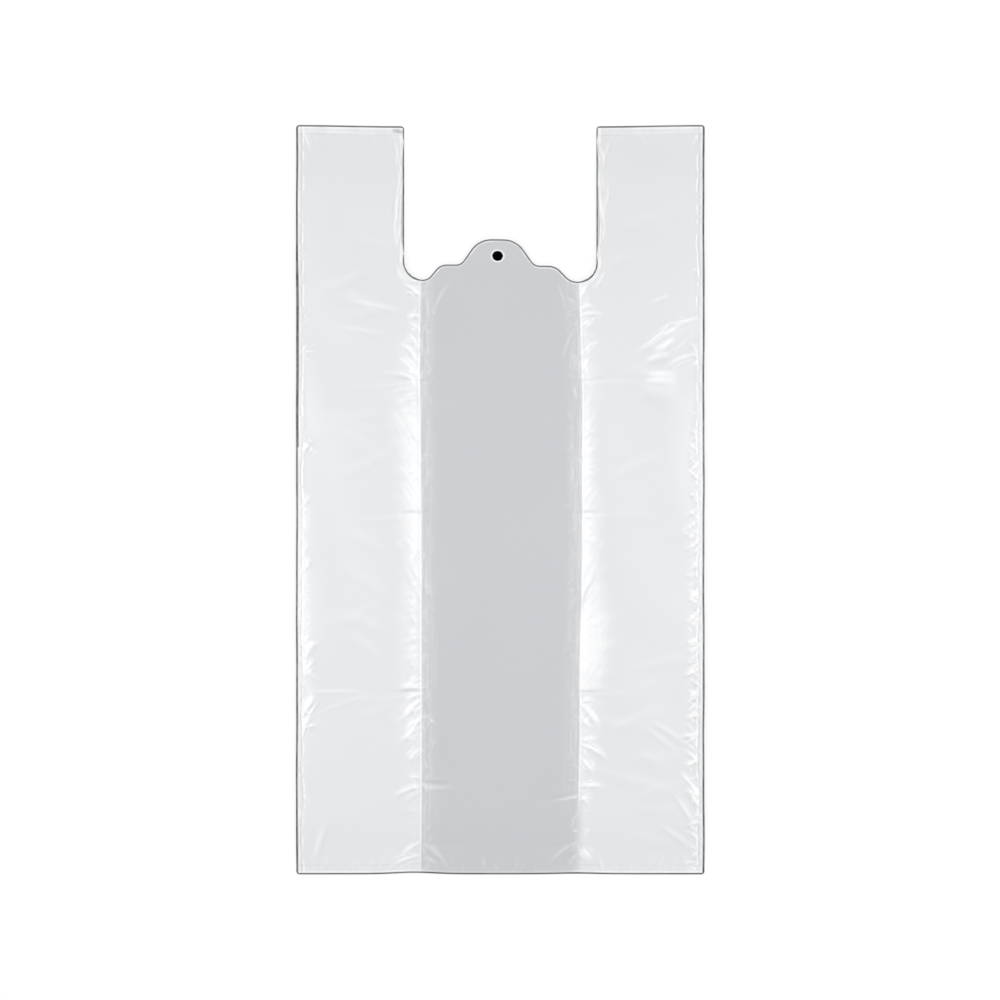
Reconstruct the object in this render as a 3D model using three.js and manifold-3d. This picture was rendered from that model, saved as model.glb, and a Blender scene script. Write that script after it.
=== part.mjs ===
// A vest-style plastic carrier bag, empty and pressed flat, lying on its back panel.
// It is one piece of blown film: a flattened tube with a gusset folded into each side, welded across
// the bottom and across the top of each handle, and die-cut along its mouth through every layer.
// Millimetres, +Z up. X runs across the bag and Y from the bottom weld to the handle tops.
// The origin is the middle of the back panel, on the surface that the bag lies on.

import * as THREE from "three";
import { mergeVertices } from "three/addons/utils/BufferGeometryUtils.js";
import Module from "manifold-3d";

// Film
const FILM_THICKNESS = 0.025;
const FILM_COLOUR = 0xe0e2e5;
const FILM_ROUGHNESS = 0.3;

// Flat bag
const LAY_FLAT_WIDTH = 300;
const LENGTH = 550;
const GUSSET_DEPTH = 91;

// How the layers lie: four deep over the gussets, two deep between them
const LAYERS_OVER_GUSSET = 4;
const LAYER_PITCH = 1.0;
const CENTRE_LIFT = 1.4;
const STEP_WIDTH = 22;

// Welds across the bottom and the handle tops: a bead that the pressed layers run into
const WELD_WIDTH = 2;
const WELD_THICKNESS = 0.3;
const WELD_PITCH = 0.06;
const WELD_RISE = 45;

// Mouth, measured down from the handle tops. It is cut past each gusset's inner fold, so that the two
// layers of the gusset come apart there and the handles open.
const CUT_PAST_FOLD = 11.6;
const MOUTH_DEPTH = 114.4;
const HANDLE_ROOT_RADIUS = 13.5;
const NOTCH_RADIUS = 10;
const NOTCH_SLOPE_DEG = 48.5;

// Hanging tab in the middle of the mouth, measured up from the foot of the mouth
const TAB_HEIGHT = 30.4;
const TAB_TOP_WIDTH = 27.6;
const TAB_TOP_RADIUS = 17.5;
const TAB_FOOT_WIDTH = 54.2;
const TAB_FOOT_RADIUS = 7;
const SHOULDER_HEIGHT = 11.5;
const SHOULDER_WIDTH = 84.6;
const SHOULDER_RADIUS = 11;
const HOLE_DIAMETER = 7.2;
const HOLE_BELOW_TAB_TOP = 11.8;

// How far the cutters run past the film
const CUT_MARGIN = 5;

// Fineness of the facets, and the distance within which two corners are one
const SAME_POINT = 1e-4;
const FOLD_SEGMENTS = 6;
const STEP_SEGMENTS = 8;
const RISE_STATIONS = 5;
const OUTLINE_SEGMENTS = 10;
const HOLE_SEGMENTS = 32;

// Places that follow from the driving dimensions
const EDGE_X = LAY_FLAT_WIDTH / 2;
const FOLD_X = EDGE_X - GUSSET_DEPTH;
const HANDLE_X = FOLD_X + CUT_PAST_FOLD;
const TOP_Y = LENGTH / 2;
const BOTTOM_Y = -LENGTH / 2;
const MOUTH_FOOT_Y = TOP_Y - MOUTH_DEPTH;
const TAB_TOP_Y = MOUTH_FOOT_Y + TAB_HEIGHT;
const SHOULDER_Y = MOUTH_FOOT_Y + SHOULDER_HEIGHT;
const WELD_STACK = FILM_THICKNESS + (LAYERS_OVER_GUSSET - 1) * WELD_PITCH;
const WELD_COVER = (WELD_THICKNESS - WELD_STACK) / 2;

const wasm = await Module();
wasm.setup();

// A closed geometry as a solid that can be joined and cut.
function solidOf(geometry) {
  const bare = geometry.clone();
  bare.deleteAttribute("normal");
  bare.deleteAttribute("uv");
  const merged = mergeVertices(bare, SAME_POINT);
  return new wasm.Manifold(
    new wasm.Mesh({
      numProp: 3,
      vertProperties: new Float32Array(merged.attributes.position.array),
      triVerts: new Uint32Array(merged.index.array),
    }),
  );
}

// A solid as a geometry again.
function geometryOf(solid) {
  const { vertProperties, triVerts } = solid.getMesh();
  const geometry = new THREE.BufferGeometry();
  geometry.setAttribute("position", new THREE.BufferAttribute(vertProperties, 3));
  geometry.setIndex(new THREE.BufferAttribute(triVerts, 1));
  const faceted = geometry.toNonIndexed();
  faceted.computeVertexNormals();
  return faceted;
}

// How far the layers have opened at a place along the bag: 0 at the welds, 1 where the film lies loose.
function opening(y) {
  const fromWeld = Math.min(y - BOTTOM_Y, TOP_Y - y) - WELD_WIDTH;
  return THREE.MathUtils.smoothstep(fromWeld, 0, WELD_RISE);
}

// The heights of the film's middle line at a place along the bag, and how far its folds keep in from the
// side of the bag. The bead covers the layers on every side, so they lie a little higher and further in.
function layersAt(y) {
  const open = opening(y);
  const cover = THREE.MathUtils.lerp(WELD_COVER, 0, open);
  const pitch = THREE.MathUtils.lerp(WELD_PITCH, LAYER_PITCH, open);
  const back = FILM_THICKNESS / 2 + cover;
  return {
    cover,
    back,
    fold: pitch / 2,
    lowerGusset: back + pitch,
    upperGusset: back + 2 * pitch,
    front: back + (LAYERS_OVER_GUSSET - 1) * pitch,
    centre: back + THREE.MathUtils.lerp(WELD_PITCH, CENTRE_LIFT, open),
  };
}

// A fold of the film: half a turn about a line along the bag, to the outside of the bag or into it.
function foldArc(x, z, radius, inward) {
  const quarter = Math.PI / 2;
  return new THREE.EllipseCurve(x, z, radius, radius, -quarter, quarter, inward).getPoints(FOLD_SEGMENTS);
}

// The step where the front panel comes down from four layers to two.
function stepCurve({ front, centre }) {
  return new THREE.CubicBezierCurve(
    new THREE.Vector2(FOLD_X + STEP_WIDTH / 2, front),
    new THREE.Vector2(FOLD_X, front),
    new THREE.Vector2(FOLD_X, centre),
    new THREE.Vector2(FOLD_X - STEP_WIDTH / 2, centre),
  );
}

// The film's middle line across the right half of the bag, from the middle of the back panel round the
// gusset to the middle of the front panel, as points of x and z.
function halfSection(y) {
  const layers = layersAt(y);
  const { cover, back, fold, lowerGusset, upperGusset, centre } = layers;
  const outerX = EDGE_X - cover - FILM_THICKNESS / 2 - fold;
  const innerX = FOLD_X + fold;
  return [
    new THREE.Vector2(0, back),
    ...foldArc(outerX, back + fold, fold, false),
    ...foldArc(innerX, lowerGusset + fold, fold, true),
    ...foldArc(outerX, upperGusset + fold, fold, false),
    ...stepCurve(layers).getPoints(STEP_SEGMENTS),
    new THREE.Vector2(0, centre),
  ];
}

// The whole middle line, closed: the right half and its mirror image.
function section(y) {
  const right = halfSection(y);
  const left = right.slice(1, -1).reverse();
  return [...right, ...left.map((p) => new THREE.Vector2(-p.x, p.y))];
}

// The middle line moved sideways by half the film, to its outer face or its inner one.
function offset(line, distance) {
  return line.map((point, i) => {
    const before = line[(i + line.length - 1) % line.length];
    const after = line[(i + 1) % line.length];
    const along = after.clone().sub(before).normalize();
    return new THREE.Vector2(point.x + along.y * distance, point.y - along.x * distance);
  });
}

// The places along the bag where a section is drawn: close together where the film rises from a weld.
// The first and last lie in the middle of the welds.
function stations() {
  const fromEnd = [WELD_WIDTH / 2, WELD_WIDTH];
  for (let i = 1; i <= RISE_STATIONS; i += 1) {
    fromEnd.push(WELD_WIDTH + (WELD_RISE * i) / RISE_STATIONS);
  }
  const up = fromEnd.map((distance) => BOTTOM_Y + distance);
  const down = fromEnd.map((distance) => TOP_Y - distance).reverse();
  return [...up, ...down];
}

// The film tube: outer and inner faces carried through the sections, and joined at both ends.
function filmTube() {
  const places = stations();
  const rings = places.map((y) => {
    const line = section(y);
    return [offset(line, FILM_THICKNESS / 2), offset(line, -FILM_THICKNESS / 2)];
  });
  const count = rings[0][0].length;
  const positions = [];
  places.forEach((y, i) => {
    rings[i].forEach((ring) => ring.forEach((p) => positions.push(p.x, y, p.y)));
  });

  const OUTER = 0;
  const INNER = 1;
  const at = (station, face, point) => (2 * station + face) * count + (point % count);
  const index = [];
  const quad = (a, b, c, d) => index.push(a, b, c, a, c, d);
  const last = places.length - 1;
  for (let k = 0; k < count; k += 1) {
    for (let i = 0; i < last; i += 1) {
      quad(at(i, OUTER, k), at(i + 1, OUTER, k), at(i + 1, OUTER, k + 1), at(i, OUTER, k + 1));
      quad(at(i, INNER, k), at(i, INNER, k + 1), at(i + 1, INNER, k + 1), at(i + 1, INNER, k));
    }
    quad(at(0, OUTER, k), at(0, OUTER, k + 1), at(0, INNER, k + 1), at(0, INNER, k));
    quad(at(last, OUTER, k), at(last, INNER, k), at(last, INNER, k + 1), at(last, OUTER, k + 1));
  }
  const geometry = new THREE.BufferGeometry();
  geometry.setAttribute("position", new THREE.Float32BufferAttribute(positions, 3));
  geometry.setIndex(index);
  return geometry;
}

// A weld fuses every layer into one bead across the bag.
function weldBead(middleY) {
  const bead = new THREE.BoxGeometry(LAY_FLAT_WIDTH, WELD_WIDTH, WELD_THICKNESS);
  bead.translate(0, middleY, WELD_THICKNESS / 2);
  return bead;
}

// The length that a rounded corner takes from each of the two straight lines that meet in it, for a
// radius of one.
function cornerReach(before, corner, after) {
  const arriving = corner.clone().sub(before);
  const leaving = after.clone().sub(corner);
  return Math.tan(Math.abs(arriving.angleTo(leaving)) / 2);
}

// Runs a path through corners and rounds each by its radius. Where two neighbours have no room for
// both of their radii on the line between them, both get smaller until they meet.
function roundedRun(path, points, radii) {
  const corners = points.slice(1, -1);
  const reach = corners.map((corner, i) => cornerReach(points[i], corner, points[i + 2]));
  const fit = corners.map(() => 1);
  for (let i = 0; i <= corners.length; i += 1) {
    const taken = (radii[i - 1] ?? 0) * (reach[i - 1] ?? 0) + (radii[i] ?? 0) * (reach[i] ?? 0);
    const room = points[i].distanceTo(points[i + 1]);
    const share = Math.min(1, room / taken);
    if (i > 0) fit[i - 1] = Math.min(fit[i - 1], share);
    if (i < corners.length) fit[i] = Math.min(fit[i], share);
  }
  corners.forEach((corner, i) => {
    const arriving = corner.clone().sub(points[i]).normalize();
    const leaving = points[i + 2].clone().sub(corner).normalize();
    const side = Math.sign(arriving.cross(leaving));
    const turn = arriving.angleTo(leaving);
    const radius = radii[i] * fit[i];
    const start = corner.clone().addScaledVector(arriving, -radius * reach[i]);
    const middle = start.clone().add(new THREE.Vector2(-arriving.y, arriving.x).multiplyScalar(side * radius));
    const startAngle = Math.atan2(start.y - middle.y, start.x - middle.x);
    path.lineTo(start.x, start.y);
    path.absarc(middle.x, middle.y, radius, startAngle, startAngle + side * turn, side < 0);
  });
}

// The die that cuts the mouth: the room between the handles, down to the notches beside the hanging tab.
function mouthOutline() {
  const aboveY = TOP_Y + CUT_MARGIN;
  const notchRun = SHOULDER_HEIGHT / Math.tan(THREE.MathUtils.degToRad(NOTCH_SLOPE_DEG));
  const rightCorners = [
    [HANDLE_X, MOUTH_FOOT_Y, HANDLE_ROOT_RADIUS],
    [SHOULDER_WIDTH / 2 + notchRun, MOUTH_FOOT_Y, NOTCH_RADIUS],
    [SHOULDER_WIDTH / 2, SHOULDER_Y, SHOULDER_RADIUS],
    [TAB_FOOT_WIDTH / 2, SHOULDER_Y, TAB_FOOT_RADIUS],
    [TAB_TOP_WIDTH / 2, TAB_TOP_Y, TAB_TOP_RADIUS],
  ];
  const leftCorners = rightCorners.map(([x, y, radius]) => [-x, y, radius]).reverse();
  const corners = [...rightCorners, ...leftCorners];
  const start = new THREE.Vector2(HANDLE_X, aboveY);
  const end = new THREE.Vector2(-HANDLE_X, aboveY);
  const points = [start, ...corners.map(([x, y]) => new THREE.Vector2(x, y)), end];
  const outline = new THREE.Shape();
  outline.moveTo(start.x, start.y);
  roundedRun(outline, points, corners.map(([, , radius]) => radius));
  outline.lineTo(end.x, end.y);
  outline.closePath();
  return outline;
}

// A flat outline as a cutter that runs through every layer.
function throughCutter(outline, segments) {
  const height = LAYERS_OVER_GUSSET * LAYER_PITCH + 2 * CUT_MARGIN;
  const cutter = new THREE.ExtrudeGeometry(outline, {
    depth: height,
    curveSegments: segments,
    bevelEnabled: false,
  });
  cutter.translate(0, 0, -CUT_MARGIN);
  return cutter;
}

function holeOutline() {
  const outline = new THREE.Shape();
  outline.absarc(0, TAB_TOP_Y - HOLE_BELOW_TAB_TOP, HOLE_DIAMETER / 2, 0, 2 * Math.PI, false);
  return outline;
}

function carrierBag() {
  const film = solidOf(filmTube());
  const bottomWeld = solidOf(weldBead(BOTTOM_Y + WELD_WIDTH / 2));
  const topWeld = solidOf(weldBead(TOP_Y - WELD_WIDTH / 2));
  const mouth = solidOf(throughCutter(mouthOutline(), OUTLINE_SEGMENTS));
  const hole = solidOf(throughCutter(holeOutline(), HOLE_SEGMENTS / 2));
  const bag = film.add(bottomWeld).add(topWeld).subtract(mouth).subtract(hole);
  const material = new THREE.MeshStandardMaterial({
    color: FILM_COLOUR,
    roughness: FILM_ROUGHNESS,
    metalness: 0,
  });
  const mesh = new THREE.Mesh(geometryOf(bag), material);
  mesh.name = "carrier_bag";
  return mesh;
}

const group = new THREE.Group();
group.add(carrierBag());

export default group;
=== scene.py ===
"""Looks for the folded film carrier bag: one creased sheet of film that stands for the CAD solid.

The bag is worked out in millimetres until its mesh is made, and the stage in metres. x runs across the bag,
y up it and z up from the floor.
"""

import math

import bmesh
import bpy
import numpy as np
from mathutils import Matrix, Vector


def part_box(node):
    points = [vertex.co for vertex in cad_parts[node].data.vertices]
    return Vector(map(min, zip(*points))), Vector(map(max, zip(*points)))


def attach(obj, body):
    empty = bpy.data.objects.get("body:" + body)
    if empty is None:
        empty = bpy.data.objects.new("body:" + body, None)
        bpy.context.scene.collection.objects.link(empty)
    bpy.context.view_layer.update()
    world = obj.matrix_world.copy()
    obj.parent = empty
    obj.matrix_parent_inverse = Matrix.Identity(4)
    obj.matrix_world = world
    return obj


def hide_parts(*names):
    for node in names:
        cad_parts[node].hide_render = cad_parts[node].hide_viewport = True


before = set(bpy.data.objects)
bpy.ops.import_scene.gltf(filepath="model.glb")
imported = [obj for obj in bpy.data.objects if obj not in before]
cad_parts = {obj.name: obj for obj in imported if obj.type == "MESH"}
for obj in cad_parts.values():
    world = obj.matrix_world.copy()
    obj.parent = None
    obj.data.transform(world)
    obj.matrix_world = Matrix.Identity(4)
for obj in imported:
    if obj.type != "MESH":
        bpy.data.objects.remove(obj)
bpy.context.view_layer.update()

MM = 0.001
NODE = "carrier_bag"
rng = np.random.default_rng(11)

# The bag's own sizes. The box comes from the frame, the rest repeats the CAD's driving dimensions.
bag_low, bag_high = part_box(NODE)
EDGE_X = bag_high.x / MM
TOP_Y = bag_high.y / MM
BOTTOM_Y = bag_low.y / MM
GUSSET_DEPTH = 91
FOLD_X = EDGE_X - GUSSET_DEPTH
CUT_PAST_FOLD = 11.6
HANDLE_X = FOLD_X + CUT_PAST_FOLD
MOUTH_DEPTH = 114.4
MOUTH_FOOT_Y = TOP_Y - MOUTH_DEPTH
HANDLE_ROOT_RADIUS = 13.5
HANDLE_ROOT_Y = MOUTH_FOOT_Y + HANDLE_ROOT_RADIUS
NOTCH_RADIUS = 10
NOTCH_SLOPE_DEG = 48.5
SHOULDER_RISE = 11.5
SHOULDER_Y = MOUTH_FOOT_Y + SHOULDER_RISE
SHOULDER_X = 42.3
SHOULDER_RADIUS = 11
TAB_HEIGHT = 30.4
TAB_TOP_Y = MOUTH_FOOT_Y + TAB_HEIGHT
TAB_TOP_X = 13.8
TAB_TOP_RADIUS = 17.5
TAB_FOOT_X = 27.1
TAB_FOOT_RADIUS = 7
HOLE_RADIUS = 3.6
NOTCH_FOOT_X = SHOULDER_X + (SHOULDER_Y - MOUTH_FOOT_Y) / math.tan(math.radians(NOTCH_SLOPE_DEG))
WELD_WIDTH = 2

# The hanging hole as the photograph shows it, a little larger and lower than the CAD's.
HOLE_WIDENED = 1.13
HOLE_HEIGHTENED = 1.05
HOLE_FROM_TAB_TOP = 12.1
HOLE_HALF_WIDTH = HOLE_RADIUS * HOLE_WIDENED
HOLE_HALF_HEIGHT = HOLE_RADIUS * HOLE_HEIGHTENED
HOLE_Y = TAB_TOP_Y - HOLE_FROM_TAB_TOP

# How the layers lie on each other.
FLOOR_GAP = 0.1
LAYER_PITCH = 1
WELD_PITCH = 0.06
WELD_RISE = 45
WELD_HEIGHT = 0.42
WELD_LIFT = 0.1
CENTRE_LIFT = 2.1
PRESSED_EDGE = 16
PRESSED_SHARE = 0.93
FOLD_RADIUS = 0.35
STEP_INSIDE = 13
STEP_OUTSIDE = 3
FOLD_RIDGE = 0.22
RIDGE_PAST_FOLD = 1.5
RIDGE_WIDTH = 2.2
EDGE_CREST = 0.12
CREST_FROM_EDGE = 5.2
CREST_WIDTH = 1.2
DEEPEST_VALLEY = 0.35
TAB_CURL = 0.8
CORNER_RADIUS = 2.4
SWELL_HEIGHT = 0.07
SWELL_SHORTEST = 45
SWELL_SPREAD = 90
SWELL_FROM_EDGE = 25

# How far the bag lies out of true: the tab to the left and turned, the handle tops low.
TAB_SHIFT = 1.95
TAB_TURN = 0.75
HANDLE_TOP_DROP = 0.95

# Mesh spacing. The hidden layers keep one row in three.
ARC_STEP_DEG = 10
HIDDEN_ARC_STEP_DEG = 20
FINE_GAP = 1.15
CALM_GAP = 2.2
HIDDEN_GAP = 6
HIDDEN_EVERY = 3
BUSY_FROM_FOLD = 15
CALM_ROWS_FROM = -125
CALM_ROWS_TO = 70
STRETCH_FROM_Y = 100
HOLE_PATCH = 7.5
HOLE_RINGS = 5
WELD_SIDES = 10
WELD_GAP = 2.5
MERGE_DISTANCE = 1e-6
ROUNDING = 1e-6
ON_LINE = 0.01


def smooth(low, high, value):
    """0 at low and 1 at high, eased at both ends. low may be the larger."""
    t = np.clip((np.asarray(value, float) - low) / (high - low), 0, 1)
    return t * t * (3 - 2 * t)


def hump(value, middle, width):
    """A bell round middle, 1 at its top."""
    return np.exp(-(((value - middle) / width) ** 2))


def rounded_corner(before, corner, after, radius, step_deg):
    """Points of the arc that rounds a corner."""
    to_before = np.subtract(before, corner) / math.dist(before, corner)
    to_after = np.subtract(after, corner) / math.dist(after, corner)
    half = math.acos(np.clip(to_before @ to_after, -1, 1)) / 2
    middle = to_before + to_after
    centre = corner + middle / np.linalg.norm(middle) * radius / math.sin(half)
    start = corner + to_before * radius / math.tan(half) - centre
    turn = math.pi - 2 * half
    if start[0] * to_before[1] - start[1] * to_before[0] > 0:
        turn = -turn
    count = max(2, math.ceil(abs(math.degrees(turn)) / step_deg))
    points = []
    for k in range(count + 1):
        c = math.cos(turn * k / count)
        s = math.sin(turn * k / count)
        points.append(centre + (start[0] * c - start[1] * s, start[0] * s + start[1] * c))
    return points


def mouth_outline(step_deg):
    """The right half of the die-cut mouth, from the middle of the tab to the handle's inner edge."""
    corners = [
        (-TAB_TOP_X, TAB_TOP_Y, 0),
        (TAB_TOP_X, TAB_TOP_Y, TAB_TOP_RADIUS),
        (TAB_FOOT_X, SHOULDER_Y, TAB_FOOT_RADIUS),
        (SHOULDER_X, SHOULDER_Y, SHOULDER_RADIUS),
        (NOTCH_FOOT_X, MOUTH_FOOT_Y, NOTCH_RADIUS),
        (HANDLE_X, MOUTH_FOOT_Y, HANDLE_ROOT_RADIUS),
        (HANDLE_X, TOP_Y, 0),
    ]
    points = [(0.0, TAB_TOP_Y)]
    for before, here, after in zip(corners, corners[1:], corners[2:]):
        points += rounded_corner(before[:2], np.array(here[:2]), after[:2], here[2], step_deg)
    return np.array(points)


def graded(start, *stretches):
    """Stations from start, where each stretch is given by its end and its widest gap."""
    stations = [start]
    for end, gap in stretches:
        first = stations[-1]
        count = max(1, math.ceil(abs(end - first) / gap - ROUNDING))
        stations += [first + (end - first) * k / count for k in range(1, count + 1)]
    return stations


MOUTH = mouth_outline(ARC_STEP_DEG)


def mouth_y(x):
    """Height of the cut edge at x, up to the handle's root."""
    return np.interp(np.abs(x), MOUTH[:, 0], MOUTH[:, 1])


def panel_columns(step_deg, centre_gap, fold_gap, side):
    """Columns of a full panel, from its left outer fold to its right one."""
    half = [0.0]
    for x in mouth_outline(step_deg)[1:, 0]:
        gap = fold_gap if x > FOLD_X - BUSY_FROM_FOLD else centre_gap
        half = half[:-1] + graded(half[-1], (x, gap))
    half += side[1:]
    return np.array([-x for x in reversed(half[1:])] + half)


# Columns and rows of the mesh. Each stretch is given by its end and its widest gap.
FRONT_SIDE = graded(
    HANDLE_X,
    (FOLD_X + 27, FINE_GAP), (EDGE_X - 48, 1.8), (EDGE_X - 14, 1.5), (EDGE_X - 2, 0.9),
    (EDGE_X - FOLD_RADIUS, 0.6), (EDGE_X, 0.12),
)
HIDDEN_SIDE = graded(HANDLE_X, (EDGE_X - 6, 15), (EDGE_X - FOLD_RADIUS, 3), (EDGE_X, 0.2))
FRONT_COLUMNS = panel_columns(ARC_STEP_DEG, CALM_GAP, FINE_GAP, FRONT_SIDE)
BACK_COLUMNS = panel_columns(HIDDEN_ARC_STEP_DEG, HIDDEN_GAP, HIDDEN_GAP, HIDDEN_SIDE)
ROOT_COLUMNS = [x for x in mouth_outline(HIDDEN_ARC_STEP_DEG)[:, 0] if FOLD_X + 1 < x < HANDLE_X - ON_LINE]
GUSSET_COLUMNS = np.array(graded(FOLD_X, (FOLD_X + FOLD_RADIUS, 0.2)) + ROOT_COLUMNS + HIDDEN_SIDE)
BODY_ROWS = np.array(graded(
    BOTTOM_Y,
    (BOTTOM_Y + 5, 0.9), (CALM_ROWS_FROM, 1.4), (CALM_ROWS_TO, CALM_GAP),
    (HANDLE_ROOT_Y - 4, 1.4), (HANDLE_ROOT_Y, 0.8),
))
HANDLE_ROWS = np.array(graded(HANDLE_ROOT_Y, (TOP_Y - 6, 2.0), (TOP_Y, 0.8)))


def body_y(x, row):
    """Where a body row lies at x: rows near the mouth bend to follow the cut edge."""
    reach = np.where(np.abs(x) < HANDLE_X, mouth_y(x), HANDLE_ROOT_Y)
    share = np.clip((row - STRETCH_FROM_Y) / (HANDLE_ROOT_Y - STRETCH_FROM_Y), 0, 1)
    return np.where(row > STRETCH_FROM_Y, STRETCH_FROM_Y + share * (reach - STRETCH_FROM_Y), row)


def straight_y(x, row):
    """Handle rows run straight across."""
    return row + 0 * x


# How far each gusset's inner fold wanders outwards from its straight line in the photograph: y, drift.
LEFT_DRIFT = (
    (-275, -1), (-220, -1.6), (-147, -1.5), (-8, -1), (58, -0.5), (95, 0.1), (117, -0.1), (155, -1),
)
RIGHT_DRIFT = (
    (-275, -3.2), (-242, -2.5), (-213, -1.8), (-176, -0.9), (-118, -0.8), (-74, 0.5), (-30, 1.2), (62, 1.2),
    (92, 0.8), (114, 0), (157, -0.8),
)


def station_value(stations, y, column=1):
    """A value that is given at a few stations along the bag, between them."""
    at = np.array(stations, float)
    return np.interp(y, at[:, 0], at[:, column])


def fold_drift(x, y):
    """How far the gusset's inner fold lies outwards of its straight line."""
    return np.where(np.asarray(x) > 0, station_value(RIGHT_DRIFT, y), station_value(LEFT_DRIFT, y))


def past_fold(x, y):
    """Distance outwards past the gusset's inner fold."""
    return np.abs(x) - FOLD_X - fold_drift(x, y)


def on_handle(x):
    """Whether a point lies as far out as the handles."""
    return np.abs(x) >= HANDLE_X - ON_LINE


def openness(y):
    """0 at the welds and 1 where the layers are free to part."""
    return smooth(0, WELD_RISE, y - BOTTOM_Y) * smooth(0, WELD_RISE, TOP_Y - y)


def pitch(x, y):
    """Distance between neighbouring layers of the four-layer sides."""
    free = WELD_PITCH + (LAYER_PITCH - WELD_PITCH) * openness(y)
    from_edge = smooth(EDGE_X, EDGE_X - PRESSED_EDGE, np.abs(x))
    return free * (PRESSED_SHARE + (1 - PRESSED_SHARE) * from_edge)


def fold_share(x, end):
    """1 along a layer, falling round the fold to 0 at the fold line itself."""
    across = np.clip((FOLD_RADIUS - np.abs(end - np.abs(x))) / FOLD_RADIUS, 0, 1)
    return np.sqrt(1 - across**2)


def side_height(x, y, level):
    """Height of layer 0 (back) to 3 (front) over the four-layer sides, round its folds."""
    outer_middle = 2.5 if level > 1 else 0.5
    height = outer_middle + (level - outer_middle) * fold_share(x, EDGE_X)
    if level in (1, 2):
        height = np.where(np.abs(x) < HANDLE_X, 1.5 + (level - 1.5) * fold_share(x, FOLD_X), height)
    return FLOOR_GAP + pitch(x, y) * height


def front_height(x, y):
    """Height of the front film before its creases. It steps down over the gussets' folds to the middle."""
    side = side_height(x, y, 3)
    middle = FLOOR_GAP + WELD_PITCH + CENTRE_LIFT * openness(y)
    past = past_fold(x, y)
    ridge = FOLD_RIDGE * hump(past, RIDGE_PAST_FOLD, RIDGE_WIDTH) * openness(y)
    return middle + (side - middle) * smooth(-STEP_INSIDE, STEP_OUTSIDE, past) + ridge


# Creases that the photograph shows leaving each gusset fold: y, angle, reach, height.
LEFT_FAN = (
    (149, 42, 13, 0.5), (134, 8, 10, 0.45), (125, 36, 10, 0.4), (102, 46, 21, 0.5), (89, 48, 24, 0.55),
    (87, 12, 34, 0.22), (82, -12, 26, 0.2), (75, -14, 18, 0.2), (50, 55, 16, 0.25), (-60, 58, 18, 0.25),
    (-131, -28, 11, 0.4), (-138, -3, 18, 0.4), (-142, -24, 14, 0.4), (-147, -46, 17, 0.55),
    (-160, -58, 18, 0.55), (-183, -44, 14, 0.45), (-204, 2, 11, 0.45), (-210, -22, 23, 0.5),
    (-252, -36, 19, 0.5), (-262, -20, 26, 0.45),
    (112, 50, 16, 0.4), (95, 42, 17, 0.35), (85, 30, 22, 0.3), (79, -20, 14, 0.25), (66, -8, 16, 0.15),
    (-152, -34, 26, 0.2), (-166, -40, 22, 0.22), (-172, -18, 20, 0.18), (-214, -34, 18, 0.2),
)
RIGHT_FAN = (
    (151, 58, 12, 0.4), (141, 12, 11, 0.5), (136, 3, 17, 0.5), (128, 28, 11, 0.4), (108, 38, 16, 0.4),
    (97, 60, 10, 0.35), (36, 60, 13, 0.3), (-78, 65, 24, -0.2), (-82, 62, 18, -0.15),
    (-147, -3, 13, 0.4), (-149, -56, 24, 0.55), (-159, -52, 10, 0.4), (-176, -3, 15, 0.4),
    (-179, -30, 24, 0.6), (-189, -53, 17, 0.4), (-210, -3, 19, 0.5), (-220, 2, 11, 0.35),
    (-257, -50, 12, 0.4),
)
FAN_WIDTH = 1.25
FAN_FROM_FOLD = 0.8
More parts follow.
